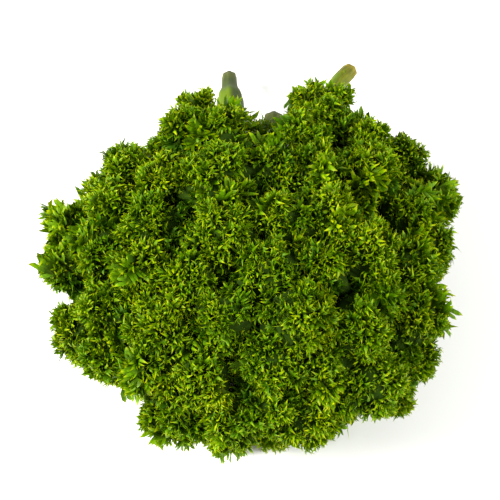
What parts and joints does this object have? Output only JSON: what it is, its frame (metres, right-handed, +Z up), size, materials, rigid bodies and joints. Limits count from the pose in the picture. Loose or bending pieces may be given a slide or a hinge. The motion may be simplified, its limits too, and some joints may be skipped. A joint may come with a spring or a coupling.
{
  "type": "curly parsley bunch",
  "caption": "Bunch of curly parsley lying down: a dome of crisped green leaves, and the pale stems gathered behind it into a short cut neck",
  "frame": {"origin": "under the middle of the bunch's own box, on the surface it lies on", "axes": "+Z up, -Y towards the leafy crown, +Y towards the cut ends of the stems, +X across the bunch, to the right when the crown is looked at"},
  "size_m": [0.198, 0.2526, 0.1263],
  "materials": {
    "leaf": "crisp fresh leaf, semi-matt with a soft waxy gloss on the teeth",
    "stem": "smooth pale green stalk, faintly ribbed, slightly waxy"
  },
  "bodies": {
    "root": {"leaf_01": "leaf", "stem_01": "stem", "leaf_02": "leaf", "stem_02": "stem", "leaf_03": "leaf", "stem_03": "stem", "leaf_04": "leaf", "stem_04": "stem", "leaf_05": "leaf", "stem_05": "stem", "leaf_06": "leaf", "stem_06": "stem", "leaf_07": "leaf", "stem_07": "stem", "leaf_08": "leaf", "stem_08": "stem", "leaf_09": "leaf", "stem_09": "stem", "leaf_10": "leaf", "stem_10": "stem", "leaf_11": "leaf", "stem_11": "stem", "leaf_12": "leaf", "stem_12": "stem", "leaf_13": "leaf", "stem_13": "stem", "leaf_14": "leaf", "stem_14": "stem", "leaf_15": "leaf", "stem_15": "stem", "leaf_16": "leaf", "stem_16": "stem", "leaf_17": "leaf", "stem_17": "stem", "leaf_18": "leaf", "stem_18": "stem", "leaf_19": "leaf", "stem_19": "stem", "leaf_20": "leaf", "stem_20": "stem", "leaf_21": "leaf", "stem_21": "stem", "leaf_22": "leaf", "stem_22": "stem", "leaf_23": "leaf", "stem_23": "stem", "leaf_24": "leaf", "stem_24": "stem", "leaf_25": "leaf", "stem_25": "stem", "leaf_26": "leaf", "stem_26": "stem", "leaf_27": "leaf", "stem_27": "stem", "leaf_28": "leaf", "stem_28": "stem", "leaf_29": "leaf", "stem_29": "stem"}
  },
  "joints": []
}
